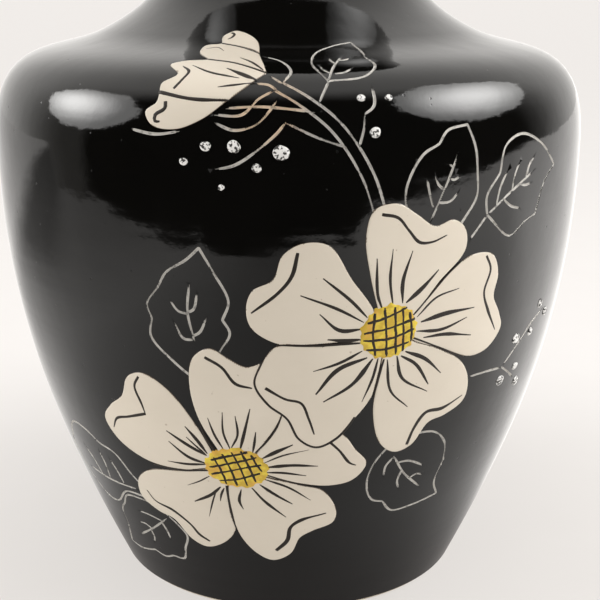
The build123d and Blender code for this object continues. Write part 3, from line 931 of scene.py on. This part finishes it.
def joined_seam(points, faces):
    """Faces whose points on one side of the back seam are those of the other side."""
    left = {round(p[1], 3): i for i, p in enumerate(points) if p[0] < -half_way + 0.01}
    index = np.arange(len(points))
    for i, p in enumerate(points):
        if p[0] > half_way - 0.01:
            index[i] = left[round(p[1], 3)]
    return index[faces]


def wall_piece(name, chosen, materials, slots, lift):
    """Closed sheet of coat from chosen faces of the net, shaded as the true round wall."""
    used, faces = used_only(joined_seam(net_points, net_faces[chosen]))
    points, tops = net_points[used], lift[used]
    places, polygons, extra = thick(points, faces, tops, -coat)
    piece = new_piece(name, places, polygons, materials, list(slots[chosen]) + [0] * extra)
    set_normals(piece, points, tops > -0.02)
    return piece


def set_normals(piece, points, level):
    """Top points that lie level on the wall are shaded with the wall's own direction."""
    mesh = piece.data
    normals = np.zeros(3 * len(mesh.vertices))
    mesh.vertices.foreach_get("normal", normals)
    normals = normals.reshape(-1, 3)
    normals[:len(points)][level] = out_from_wall(points)[level]
    mesh.normals_split_custom_set_from_vertices(normals)


# ---- petals -------------------------------------------------------------------------------
def rolled(away, rise, roll, foot=-0.12):
    """Height of a patch by the distance from its edge: a quarter round, then level."""
    share = np.clip(1 - away / roll, 0, 1)
    return foot + (rise - foot) * np.sqrt(1 - share**2)


def patch(name, outline, covers, rise, roll, spacing, materials, lumps=None, level_in=None):
    """Closed patch of slip on the wall inside an outline, less what other patches cover.

    Its edge isn't rolled down inside the oval `level_in`, which lies over it."""
    steps = [0.22 * roll, 0.5 * roll, roll]
    points, borders, edges, rings = [], [], [], []
    for border in [outline] + [cover for cover in covers if inside(cover, outline).any()]:
        first = sum(len(p) for p in points)
        points.append(border)
        edges += [(first + i, first + (i + 1) % len(border)) for i in range(len(border))]
        borders.append(border if border is outline else border[inside(border, outline)])
        loop = np.vstack([border, border[:1]])
        rings += [side_step(loop, side * step)[:-1] for side in (-1, 1) for step in steps]
    tree = finder(np.vstack(borders))
    field = lattice(outline.min(0), outline.max(0), spacing)
    field = field[distance(field, tree)[0] > 1.5 * roll]
    for ring in rings:
        away = distance(ring, tree)[0]
        on_step = np.min([np.abs(away - step) for step in steps], axis=0) < 0.06
        points.append(ring[on_step])
    points.append(field)
    made, faces = triangles(np.vstack(points), edges)
    faces = facing_out(made, faces)
    middles = made[faces].mean(1)
    kept = inside(middles, outline)
    for cover in covers:
        kept &= ~inside(middles, cover)
    used, faces = used_only(faces[kept])
    made = made[used]
    away = distance(made, tree)[0]
    under = inside(made, level_in) if level_in is not None else np.zeros(len(made), bool)
    away[under] = roll
    lift = rolled(away, rise, roll)
    if lumps is not None:
        lift = lift + lumps(made) * np.clip(away / roll, 0, 1)
    places, polygons, extra = thick(made, faces, lift, slip_foot)
    middle_away = distance(made[faces].mean(1), tree)[0]
    slots = [int(a < 0.45 * roll) for a in middle_away] + [len(materials) - 1] * extra
    if len(materials) == 1:
        slots = [0] * len(polygons)
    piece = new_piece(name, places, polygons, materials, slots)
    set_normals(piece, made, (away > 0.98 * roll) & (lumps is None))
    return piece


def oval(middle, size, count, wobble=0.25, ragged=0.0):
    """Slightly uneven oval outline, with a ragged edge where it was dabbed on."""
    turns = np.arange(count) / count * 2 * math.pi
    phases = [chance.uniform(0, 6.28) for _ in range(6)]
    uneven = sum(wobble / k * np.sin(k * turns + phase) for k, phase in zip((2, 3, 5), phases))
    uneven = uneven + sum(ragged * np.sin(k * turns + phase) for k, phase in zip((9, 14, 23), phases[3:]))
    across = middle[0] + (size[0] + uneven) * np.cos(turns) / squeeze(middle[1])
    return np.stack([across, middle[1] + (size[1] + uneven) * np.sin(turns)], 1)


# ---- brush strokes ------------------------------------------------------------------------
press = {"ray": 1.4, "fold": 1.25, "seam": 0.85, "hatch": 1.0}   # how hard the brush is pressed
hatch_width = 1.0
bead = [(-1, -0.05), (-0.6, 0.03), (0, 0.05), (0.6, 0.03), (1, -0.05)]   # a stroke's section


def ribbon(line, half, base):
    """Closed brush stroke: a low rounded bead along a line, standing on heights `base`."""
    rows = [on_wall(side_step(line, share * half), base + rise) for share, rise in bead]
    rows += [on_wall(side_step(line, share * half), stroke_foot) for share in (0.9, -0.9)]
    count, around = len(line), len(rows)
    places = np.stack(rows, 1).reshape(-1, 3)
    faces = []
    for i in range(count - 1):
        for j in range(around):
            k = (j + 1) % around
            faces.append((i * around + j, i * around + k, (i + 1) * around + k, (i + 1) * around + j))
    faces.append(tuple(range(around))[::-1])
    faces.append(tuple((count - 1) * around + j for j in range(around)))
    return places, faces


def brushed(width, points, kind):
    """Middle line and half widths of one stroke."""
    line = smooth(points, 0.8)
    run = np.linspace(0, 1, len(line))
    ends = {"ray": np.minimum((run + 0.04) / 0.3, (1.03 - run) / 0.5),
            "fold": np.minimum((run + 0.12) / 0.15, (1.07 - run) / 0.4),
            "seam": np.minimum((run + 0.1) / 0.15, (1.06 - run) / 0.4),
            "hatch": np.minimum((run + 0.06) / 0.12, (1.06 - run) / 0.12)}[kind]
    half = 0.5 * width * press[kind] * unsteady(len(line), 0.22)
    return line, half * np.clip(ends, 0.14, 1) ** 0.6


def stroke_piece(name, strokes):
    """One piece from many closed strokes: (line, half widths, heights) each."""
    places, faces = [], []
    for line, half, base in strokes:
        made, polygons = ribbon(line, half, base)
        first = sum(len(p) for p in places)
        places.append(made)
        faces += [tuple(i + first for i in face) for face in polygons]
    piece = new_piece(name, np.vstack(places), faces, [stroke_finish])
    return piece


# ---- build the coat -----------------------------------------------------------------------
under_keep, under_reach = 0.72, 1.2
disc_points = 150


def drawn_under(outline, middle, size):
    """Petal outline whose inner end is drawn in under the flower's middle."""
    points = []
    for across, up in outline:
        x, y = across - middle[0], up - middle[1]
        keep = under_keep if math.hypot(x / size[0], y / size[1]) < under_reach else 1
        points.append((middle[0] + keep * x, middle[1] + keep * y))
    return closed([points + points[:1]], 0.7)


upper_outlines = [drawn_under(outline, upper_middle, upper_size) for outline in upper_petals]
lower_outlines = [drawn_under(outline, lower_middle, lower_size) for outline in lower_petals]
bud_outlines = [closed(runs, 0.7) for runs in bud_petals]
upper_disc = oval(upper_middle, upper_size, disc_points, ragged=0.2)
lower_disc = oval(lower_middle, lower_size, disc_points, ragged=0.2)

covered = np.zeros(len(net_faces), bool)
for outline in upper_outlines + lower_outlines + bud_outlines + [upper_disc, lower_disc]:
    under = inside(face_middles, outline)
    edge_away = distance(face_middles[under], finder(outline))[0]
    covered[np.nonzero(under)[0][edge_away > hidden_margin]] = True

line_slots = face_scratched.astype(int)
coat_piece = wall_piece("coat", (face_owner == "coat") & ~covered, [glaze_finish, scratch_finish],
                        line_slots, net_lift)
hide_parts("outer_glaze")
for name in [*leaves, "stem"]:
    chosen = (face_owner == name) & ~covered
    leaf = wall_piece(name + "_island", chosen, [glaze_finish, scratch_finish], line_slots, net_lift)
    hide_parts(name)

# ---- build the flowers --------------------------------------------------------------------
petal_materials = [cream_finish, edge_finish]
petal_groups = [
    ("upper", upper_outlines, "upper_petal_", []),
    ("lower", lower_outlines, "lower_petal_", upper_outlines),
    ("bud", bud_outlines, "bud_petal_", []),
]
for group, outlines, start, covers in petal_groups:
    for number, outline in enumerate(outlines, 1):
        disc = {"upper": upper_disc, "lower": lower_disc, "bud": None}[group]
        name = start + str(number)
        piece = patch(name + "_slip", outline, covers + outlines[:number - 1], petal_rise, petal_edge,
                      1.6, petal_materials, level_in=disc)
        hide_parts(name)

middle_rise, middle_roll = 0.5, 1.1


def middle_lumps(points):
    """Low uneven dabs over a flower middle."""
    x, y = points[:, 0], points[:, 1]
    return 0.05 * (np.sin(1.9 * x + 0.7 * y) * np.sin(1.6 * y - 0.5 * x) + np.sin(0.9 * x - 1.3 * y))


for name, disc in (("upper_flower_centre", upper_disc), ("lower_flower_centre", lower_disc)):
    piece = patch(name + "_slip", disc, [], middle_rise, middle_roll, 0.8, [yellow_finish],
                  middle_lumps)
    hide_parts(name)

for name, spots in berries.items():
    places, faces = [], []
    for across, up, radius in spots:
        ring_count, turn_count = 6, 28
        outline = oval((across, up), (radius, radius * chance.uniform(0.88, 1.0)), turn_count,
                       0.09 * radius)
        middle = np.array([across, up])
        rise = min(0.55, 0.3 + 0.14 * radius)
        first = sum(len(p) for p in places)
        rows = []
        for k in range(ring_count):
            share = 1 - k / ring_count
            height = -0.15 + (rise + 0.15) * math.sqrt(1 - share**2.6)
            rows.append(on_wall(middle + (outline - middle) * share, height))
        rows.append(on_wall(middle[None], rise))
        rows.append(on_wall(middle[None], slip_foot))
        places += rows
        for k in range(ring_count - 1):
            for j in range(turn_count):
                a, b = k * turn_count + j, k * turn_count + (j + 1) % turn_count
                faces.append((first + a, first + b, first + b + turn_count, first + a + turn_count))
        top, bottom = ring_count * turn_count, ring_count * turn_count + 1
        for j in range(turn_count):
            k = (j + 1) % turn_count
            inner = (ring_count - 1) * turn_count
            faces.append((first + inner + j, first + inner + k, first + top))
            faces.append((first + k, first + j, first + bottom))
    piece = new_piece(name + "_slip", np.vstack(places), faces, [white_finish])
    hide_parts(name)

# ---- build the brush strokes --------------------------------------------------------------
for name, groups, hatch, disc in (
    ("upper_flower_strokes", upper_strokes, upper_hatch, upper_disc),
    ("lower_flower_strokes", lower_strokes, lower_hatch, lower_disc),
    ("bud_strokes", bud_strokes, [], None),
):
    strokes = []
    for kind, lines in groups.items():
        for width, points in lines:
            line, half = brushed(width, points, kind)
            strokes.append((line, half, np.full(len(line), petal_rise)))
    for points in hatch:
        line, half = brushed(hatch_width, points, "hatch")
        away = distance(line, finder(disc))[0] * np.where(inside(line, disc), 1, 0)
        base = np.maximum(rolled(away, middle_rise, middle_roll) + middle_lumps(line), petal_rise)
        strokes.append((line, half, base))
    stroke_piece(name, strokes)


# ---- build the inside and the clay --------------------------------------------------------
def turned(name, profile, material, count=180):
    """Closed solid turned about the axis from a closed profile that starts and ends on it."""
    places, faces, rings = [], [], []
    turns = np.arange(count) / count * 2 * math.pi
    for r, z in profile:
        if r < 1e-6:
            rings.append([len(places)] * count)
            places.append((0.0, 0.0, z * mm))
        else:
            rings.append(list(range(len(places), len(places) + count)))
            places += [(r * mm * math.sin(t), -r * mm * math.cos(t), z * mm) for t in turns]
    for a, b in zip(rings, rings[1:]):
        for j in range(count):
            k = (j + 1) % count
            face = list(dict.fromkeys((a[j], a[k], b[k], b[j])))
            if len(face) > 2:
                faces.append(tuple(face))
    return new_piece(name, places, faces, [material])


lining_rows = np.vstack([over_rows[crest:], inside_rows])
lip_count, lip_skip, wall_skip = 30, 2, 14      # closer rows round the lip than down the wall
lining = np.vstack([lining_rows[:lip_count:lip_skip], lining_rows[lip_count::wall_skip],
                    lining_rows[-1:]])
top_side = [(r, z) for r, z, _, _ in lining]
under_side = [(r - coat * dz, z + coat * dr) for r, z, dr, dz in lining]
under_side[-1] = (0.0, floor_height - coat)
inside_piece = turned("inner_coat", under_side[::-1] + top_side, inner_finish)
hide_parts("inner_glaze")

clay_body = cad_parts["clay_body"]
for place in clay_body.material_slots:
    place.material = clay_finish

# ---- floor, light and camera --------------------------------------------------------------
# The glowing card seen only in reflections, a painted reflection of the floor, in metres: its near edge
# runs from the left to the right in front of the pot.
card_outline = [
    (-3, 0.5), (-0.90, 0.05), (-0.72, -0.14), (-0.75, -0.20), (-0.66, -0.277), (-0.55, -0.30),
    (-0.44, -0.345), (-0.39, -0.373), (-0.34, -0.371), (-0.273, -0.391), (-0.248, -0.434),
    (-0.204, -0.412), (-0.158, -0.409), (-0.098, -0.438), (-0.067, -0.433), (-0.036, -0.467),
    (-0.003, -0.497), (0.035, -0.511), (0.079, -0.516), (0.122, -0.499), (0.155, -0.459),
    (0.192, -0.468), (0.249, -0.54), (0.352, -0.626), (0.495, -0.546), (0.616, -0.516),
    (0.748, -0.501), (0.959, -0.321), (1.657, -0.078), (2.4, 0.3), (4, 4), (-3, 4),
]


def stage_floor(name, outline, height, build):
    """Flat plane that isn't part of the pot."""
    mesh = bpy.data.meshes.new(name)
    mesh.from_pydata([(x, y, height) for x, y in outline], [], [tuple(range(len(outline)))])
    mesh.materials.append(finish_surface(name, build))
    board = bpy.data.objects.new(name, mesh)
    bpy.context.scene.collection.objects.link(board)
    return board


def floor_glow_painted_shadow_finish(f):
    """Matt pale board that glows: its own light, brighter for the pot than for the camera, throws light up
    at the lower flower, and the camera sees a painted shadow near the foot.
    """
    grain = f.noise(30, 5)
    seen = f.add("ShaderNodeLightPath", None, None, out="Is Camera Ray")
    place = f.add("ShaderNodeTexCoord", None, None, out=3)
    away = f.add("ShaderNodeVectorMath", {"operation": "LENGTH"}, {"Vector": place}, out=1)
    # painted shadow: the glow seen by the camera is darker near the foot
    shown_with_painted_shadow = f.mix(away.above(0.17, 0.12), (0.60, 0.573, 0.548), (0.735, 0.705, 0.68))
    return {
        "Base Color": f.mix(grain, (0.15, 0.145, 0.14), (0.17, 0.165, 0.16)),
        "Roughness": 0.9,
        # the floor glows brighter for light rays than for the camera, a painted light thrown up at the pot
        "Emission Color": f.mix(seen, (1.01, 0.98, 0.935), shown_with_painted_shadow),
        "Emission Strength": 1.0,
    }


def card_painted_reflection_finish(f):
    """Glowing card under the pot seen only in reflections, a painted reflection of the floor: darker in the
    middle, with painted shade near the foot, brighter to the right.
    """
    place = f.add("ShaderNodeTexCoord", None, None, out=3)
    across = f.add("ShaderNodeSeparateXYZ", None, {"Vector": place}, out=0)
    along = f.add("ShaderNodeSeparateXYZ", None, {"Vector": place}, out=1)
    spread = f.add("ShaderNodeMapRange", None, {"Value": across, "From Min": -1.0, "From Max": 1.0})
    ramps = []
    for stops in (
        [(0.0, 0.58), (0.25, 0.64), (0.37, 0.88), (0.45, 0.50), (0.5, 0.38), (0.56, 0.8), (0.66, 1.15),
         (0.85, 1.45)],
        [(0.0, 0.25), (0.27, 0.34), (0.35, 0.85), (0.41, 1.10), (0.5, 1.0), (0.58, 1.7), (0.8, 1.9),
         (1.0, 1.7)],
        [(0.0, 1.1), (0.25, 1.2), (0.41, 1.2), (0.58, 1.7), (1.0, 1.7)],
    ):
        stops = [(x, (level, 0.97 * level, 0.94 * level)) for x, level in stops]
        ramps.append(f.add("ShaderNodeValToRGB", {"stops": stops}, {"Fac": spread}))
    glow = f.mix(along.above(0.30, 0.10), f.mix(along.above(0.0, 0.08), *ramps[:2]), ramps[2])
    away = f.add("ShaderNodeVectorMath", {"operation": "LENGTH"}, {"Vector": place}, out=1)
    # painted shade: the card's glow drops near the foot, in place of the pot's shadow seen in reflection
    near = away.above(0.078, 0.03)
    return {
        "Base Color": (0, 0, 0),
        "Specular IOR Level": 0.0,
        "Emission Color": f.mix(near, (0.26, 0.24, 0.23), glow),
        "Emission Strength": 1.0,
    }


card_sink = 0.0006          # the card lies this far under the floor, and only reflections meet it
card = stage_floor("card", card_outline, -card_sink, card_painted_reflection_finish)
card.visible_camera = card.visible_diffuse = card.visible_shadow = False
floor = stage_floor("floor", [(-9, -9), (9, -9), (9, 9), (-9, 9)], 0.0, floor_glow_painted_shadow_finish)
floor.visible_glossy = False

lit_point = Vector((0, 0, 0.17))
hot_level = 2.2             # brightness at a soft box's hot spot, as a multiple of its own


def soft_box(name, azimuth, elevation, away, width, height, brightness, hot=(0.5, 0.5), edge=0.42):
    """Area light aimed at the pot: an oval with ragged edges, brightest at `hot`, `edge` elsewhere.

    Azimuth 0 is the front, 90 the right."""
    light = bpy.data.lights.new(name, "AREA")
    light.shape = "ELLIPSE"
    light.size, light.size_y = width, height
    light.energy = brightness * math.pi * math.pi / 4 * width * height
    light.color = (1.0, 0.99, 0.975)
    light.use_nodes = True
    f = Finish(light.node_tree)
    spot = f.add("ShaderNodeNewGeometry", None, None, out="Parametric")
    first, second = (f.add("ShaderNodeSeparateXYZ", None, {"Vector": spot}, out=k) for k in (0, 1))
    over, up = first - hot[0], second - hot[1]
    spread = (over * over + up * up) ** 0.5
    level = edge + (hot_level - edge) * (1 - spread.above(0.22, 0.2))
    lumps = {"Vector": spot, "Scale": 7.0, "Detail": 5.0, "Roughness": 0.6}
    wobble = f.add("ShaderNodeTexNoise", None, lumps)
    x, y = first - 0.5, second - 0.5
    reach = (4 * x * x + 4 * y * y) ** 0.5 + 0.4 * (wobble - 0.5)
    glow = f.add("ShaderNodeEmission", None, {"Strength": level * (1 - reach.above(0.84, 0.03))})
    end = light.node_tree.nodes.new("ShaderNodeOutputLight")
    light.node_tree.links.new(glow.socket, end.inputs["Surface"])
    lamp = bpy.data.objects.new(name, light)
    turn, climb = math.radians(azimuth), math.radians(elevation)
    way = Vector((math.sin(turn) * math.cos(climb), -math.cos(turn) * math.cos(climb), math.sin(climb)))
    lamp.location = lit_point + way * away
    lamp.rotation_euler = way.to_track_quat("Z", "Y").to_euler()
    lamp.visible_camera = False
    bpy.context.scene.collection.objects.link(lamp)
    return lamp


soft_box("soft_box_left", -82, 24, 0.9, 0.84, 0.66, 6.0, hot=(0.40, 0.5))
soft_box("soft_box_right", 80, 36, 0.9, 1.12, 0.84, 6.0)
overhead = soft_box("soft_box_above", -10, 62, 1.2, 0.9, 0.6, 1.3, edge=1.0)
overhead.visible_glossy = False

room = bpy.data.worlds.new("room")
bpy.context.scene.world = room
room.use_nodes = True
f = Finish(room.node_tree)
way = f.add("ShaderNodeTexCoord")
sideways, behind, above = (f.add("ShaderNodeSeparateXYZ", None, {"Vector": way}, out=k)
                           for k in range(3))
bright = (behind + 0.9 * above * above - 0.05 * sideways).above(0.41, 0.34)
left_wall = behind.above(-0.15, 0.05) * (-1 * sideways).above(0.3, 0.1)
dark_side = f.mix(left_wall, (0.004, 0.004, 0.004), (0.24, 0.23, 0.215))
mirrored_room = f.mix(bright, dark_side, (1.2, 1.17, 1.13))
seen = f.add("ShaderNodeLightPath", None, None, out="Is Camera Ray")
mirrored = f.add("ShaderNodeLightPath", None, None, out="Is Glossy Ray")
colour = f.mix(seen, f.mix(mirrored, (0.50, 0.49, 0.48), mirrored_room), (0.88, 0.845, 0.815))
background = f.add("ShaderNodeBackground", None, {"Color": colour, "Strength": 1.0})
output = room.node_tree.nodes.new("ShaderNodeOutputWorld")
room.node_tree.links.new(background.socket, output.inputs["Surface"])

scene = bpy.context.scene
scene.view_settings.view_transform = "Standard"
camera_data = bpy.data.cameras.new("camera")
camera_data.lens, camera_data.sensor_width = 72, 36
camera_data.shift_x = 0.0192
camera = bpy.data.objects.new("camera", camera_data)
camera.location = (0, -0.42265, 0.2106)
camera.rotation_euler = (math.radians(74.2), 0, 0)
scene.collection.objects.link(camera)
scene.camera = camera
